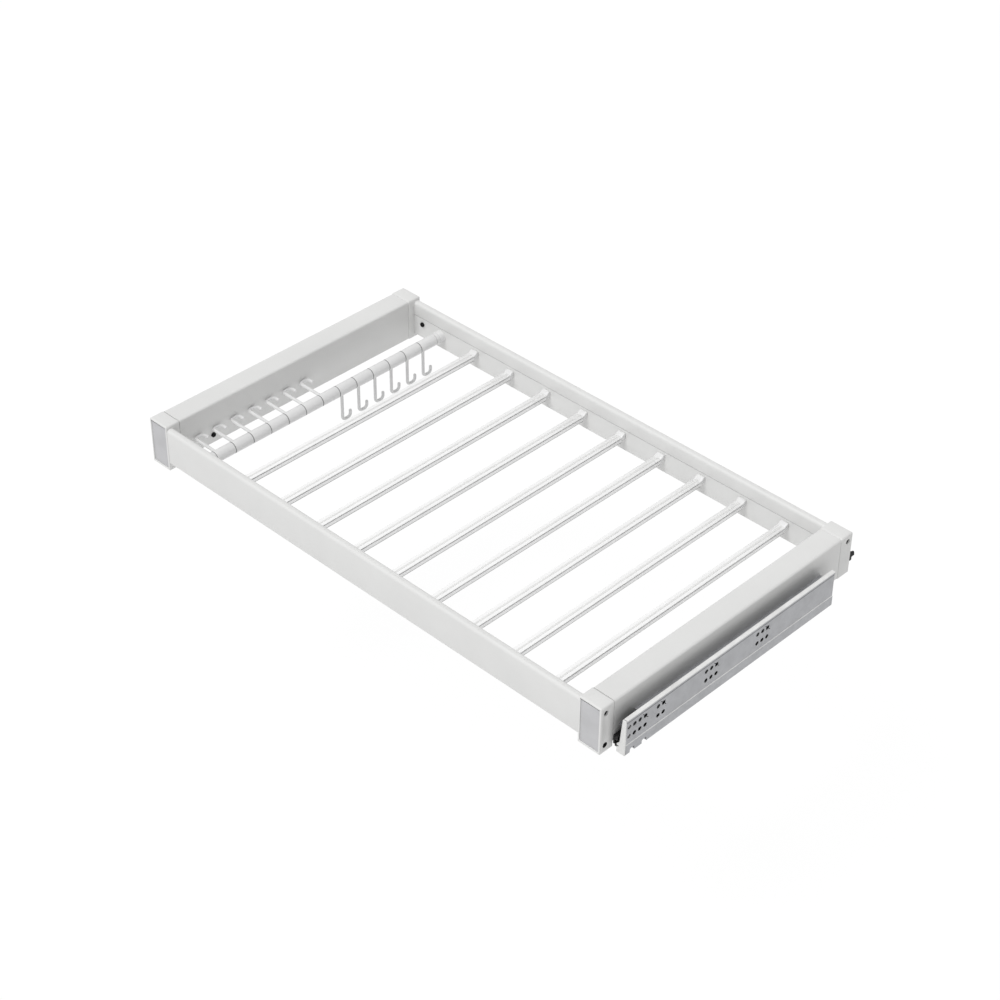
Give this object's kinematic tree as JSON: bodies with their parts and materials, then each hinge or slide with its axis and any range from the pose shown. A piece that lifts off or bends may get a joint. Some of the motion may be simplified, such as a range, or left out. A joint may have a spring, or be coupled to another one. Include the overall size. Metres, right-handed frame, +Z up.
{
  "type": "pull out trouser rack",
  "caption": "White wardrobe pull-out trouser rack: a shallow frame with cross bars and a tube of swivelling hooks on ball-bearing drawer slides.",
  "frame": {"origin": "centre of the whole rack's bounding box, hanging hooks included", "axes": "+X from the hook tube's side across to the right rail, +Y from the front to the rear of the cabinet, +Z up"},
  "size_m": [0.864, 0.483, 0.0932],
  "materials": {
    "white_plastic": "moulded, satin",
    "powder_white": "extruded, light grey powder coat",
    "inlay_grey": "satin",
    "grip_clear": "soft, matt",
    "bar_aluminium": "extruded, bright satin",
    "tube_metal": "satin",
    "zinc_steel": "rolled sheet, zinc plated",
    "ball_steel": "balls and retainer strips",
    "black_plastic": "moulded, matt",
    "dark_steel": "black oxide"
  },
  "bodies": {
    "cabinet_members": {"slide_cabinet_member_left": "zinc_steel", "slide_cabinet_member_right": "zinc_steel"},
    "rack": {"side_rail_left": "powder_white", "side_rail_right": "powder_white", "front_beam": "powder_white", "rear_beam": "powder_white", "corner_block_front_left": "white_plastic", "corner_block_front_right": "white_plastic", "corner_block_rear_left": "white_plastic", "corner_block_rear_right": "white_plastic", "front_inlay_left": "inlay_grey", "front_inlay_right": "inlay_grey", "trouser_bar_1": "bar_aluminium", "trouser_bar_2": "bar_aluminium", "trouser_bar_3": "bar_aluminium", "trouser_bar_4": "bar_aluminium", "trouser_bar_5": "bar_aluminium", "trouser_bar_6": "bar_aluminium", "trouser_bar_7": "bar_aluminium", "trouser_bar_8": "bar_aluminium", "trouser_bar_9": "bar_aluminium", "bar_grip_strips": "grip_clear", "bar_clips_front": "white_plastic", "bar_clips_rear": "white_plastic", "hook_tube": "tube_metal", "tube_sleeves": "white_plastic", "tube_holder_front": "white_plastic", "tube_holder_rear": "white_plastic", "slide_drawer_member_left": "zinc_steel", "slide_drawer_member_right": "zinc_steel", "front_clip_left": "black_plastic", "front_clip_right": "black_plastic", "frame_screws": "dark_steel", "beam_screws": "dark_steel", "slide_screws": "dark_steel", "rear_hooks": "dark_steel"},
    "mid_member_left": {"slide_mid_member_left": "zinc_steel", "slide_nose_left": "white_plastic"},
    "outer_cage_left": {"outer_ball_cage_left": "ball_steel"},
    "inner_cage_left": {"inner_ball_cage_left": "ball_steel"},
    "mid_member_right": {"slide_mid_member_right": "zinc_steel", "slide_nose_right": "white_plastic"},
    "outer_cage_right": {"outer_ball_cage_right": "ball_steel"},
    "inner_cage_right": {"inner_ball_cage_right": "ball_steel"},
    "swivel_hook_1": {"hook_1": "white_plastic"},
    "swivel_hook_2": {"hook_2": "white_plastic"},
    "swivel_hook_3": {"hook_3": "white_plastic"},
    "swivel_hook_4": {"hook_4": "white_plastic"},
    "swivel_hook_5": {"hook_5": "white_plastic"},
    "swivel_hook_6": {"hook_6": "white_plastic"},
    "swivel_hook_7": {"hook_7": "white_plastic"},
    "swivel_hook_8": {"hook_8": "white_plastic"},
    "swivel_hook_9": {"hook_9": "white_plastic"},
    "swivel_hook_10": {"hook_10": "white_plastic"},
    "swivel_hook_11": {"hook_11": "white_plastic"},
    "swivel_hook_12": {"hook_12": "white_plastic"},
    "swivel_hook_13": {"hook_13": "white_plastic"},
    "lever_left": {"release_lever_left": "black_plastic"},
    "lever_right": {"release_lever_right": "black_plastic"}
  },
  "joints": [
    {"name": "pull_out", "type": "slide", "parent": "cabinet_members", "child": "rack", "axis": [0, -1, 0], "range_m": [0, 0.35]},
    {"name": "mid_slide_left", "type": "slide", "parent": "cabinet_members", "child": "mid_member_left", "axis": [0, -1, 0], "range_m": [0, 0.175]},
    {"name": "outer_cage_slide_left", "type": "slide", "parent": "cabinet_members", "child": "outer_cage_left", "axis": [0, -1, 0], "range_m": [0, 0.0875]},
    {"name": "inner_cage_slide_left", "type": "slide", "parent": "cabinet_members", "child": "inner_cage_left", "axis": [0, -1, 0], "range_m": [0, 0.2625]},
    {"name": "mid_slide_right", "type": "slide", "parent": "cabinet_members", "child": "mid_member_right", "axis": [0, -1, 0], "range_m": [0, 0.175]},
    {"name": "outer_cage_slide_right", "type": "slide", "parent": "cabinet_members", "child": "outer_cage_right", "axis": [0, -1, 0], "range_m": [0, 0.0875]},
    {"name": "inner_cage_slide_right", "type": "slide", "parent": "cabinet_members", "child": "inner_cage_right", "axis": [0, -1, 0], "range_m": [0, 0.2625]},
    {"name": "hook_swivel_1", "type": "hinge", "parent": "rack", "child": "swivel_hook_1", "pos_m": [-0.3224, -0.1971, 0.00795], "axis": [0, 1, 0], "continuous": true},
    {"name": "hook_swivel_2", "type": "hinge", "parent": "rack", "child": "swivel_hook_2", "pos_m": [-0.3224, -0.1655, 0.00795], "axis": [0, 1, 0], "continuous": true},
    {"name": "hook_swivel_3", "type": "hinge", "parent": "rack", "child": "swivel_hook_3", "pos_m": [-0.3224, -0.1339, 0.00795], "axis": [0, 1, 0], "continuous": true},
    {"name": "hook_swivel_4", "type": "hinge", "parent": "rack", "child": "swivel_hook_4", "pos_m": [-0.3224, -0.1023, 0.00795], "axis": [0, 1, 0], "continuous": true},
    {"name": "hook_swivel_5", "type": "hinge", "parent": "rack", "child": "swivel_hook_5", "pos_m": [-0.3224, -0.0707, 0.00795], "axis": [0, 1, 0], "continuous": true},
    {"name": "hook_swivel_6", "type": "hinge", "parent": "rack", "child": "swivel_hook_6", "pos_m": [-0.3224, -0.0391, 0.00795], "axis": [0, 1, 0], "continuous": true},
    {"name": "hook_swivel_7", "type": "hinge", "parent": "rack", "child": "swivel_hook_7", "pos_m": [-0.3224, -0.0075, 0.00795], "axis": [0, 1, 0], "continuous": true},
    {"name": "hook_swivel_8", "type": "hinge", "parent": "rack", "child": "swivel_hook_8", "pos_m": [-0.3224, 0.0241, 0.00795], "axis": [0, 1, 0], "continuous": true},
    {"name": "hook_swivel_9", "type": "hinge", "parent": "rack", "child": "swivel_hook_9", "pos_m": [-0.3224, 0.0557, 0.00795], "axis": [0, 1, 0], "continuous": true},
    {"name": "hook_swivel_10", "type": "hinge", "parent": "rack", "child": "swivel_hook_10", "pos_m": [-0.3224, 0.0873, 0.00795], "axis": [0, 1, 0], "continuous": true},
    {"name": "hook_swivel_11", "type": "hinge", "parent": "rack", "child": "swivel_hook_11", "pos_m": [-0.3224, 0.1189, 0.00795], "axis": [0, 1, 0], "continuous": true},
    {"name": "hook_swivel_12", "type": "hinge", "parent": "rack", "child": "swivel_hook_12", "pos_m": [-0.3224, 0.1505, 0.00795], "axis": [0, 1, 0], "continuous": true},
    {"name": "hook_swivel_13", "type": "hinge", "parent": "rack", "child": "swivel_hook_13", "pos_m": [-0.3224, 0.1821, 0.00795], "axis": [0, 1, 0], "continuous": true},
    {"name": "lever_left", "type": "hinge", "parent": "rack", "child": "lever_left", "pos_m": [-0.41625, -0.1888, -0.01785], "axis": [-1, 0, 0], "range_deg": [0, 6], "stiffness_Nm_per_rad": 0.01},
    {"name": "lever_right", "type": "hinge", "parent": "rack", "child": "lever_right", "pos_m": [0.41625, -0.1888, -0.01785], "axis": [-1, 0, 0], "range_deg": [0, 6], "stiffness_Nm_per_rad": 0.01}
  ],
  "couplings": [
    {"joint": "mid_slide_left", "follows": "pull_out", "ratio": 0.5},
    {"joint": "outer_cage_slide_left", "follows": "pull_out", "ratio": 0.25},
    {"joint": "inner_cage_slide_left", "follows": "pull_out", "ratio": 0.75},
    {"joint": "mid_slide_right", "follows": "pull_out", "ratio": 0.5},
    {"joint": "outer_cage_slide_right", "follows": "pull_out", "ratio": 0.25},
    {"joint": "inner_cage_slide_right", "follows": "pull_out", "ratio": 0.75}
  ]
}
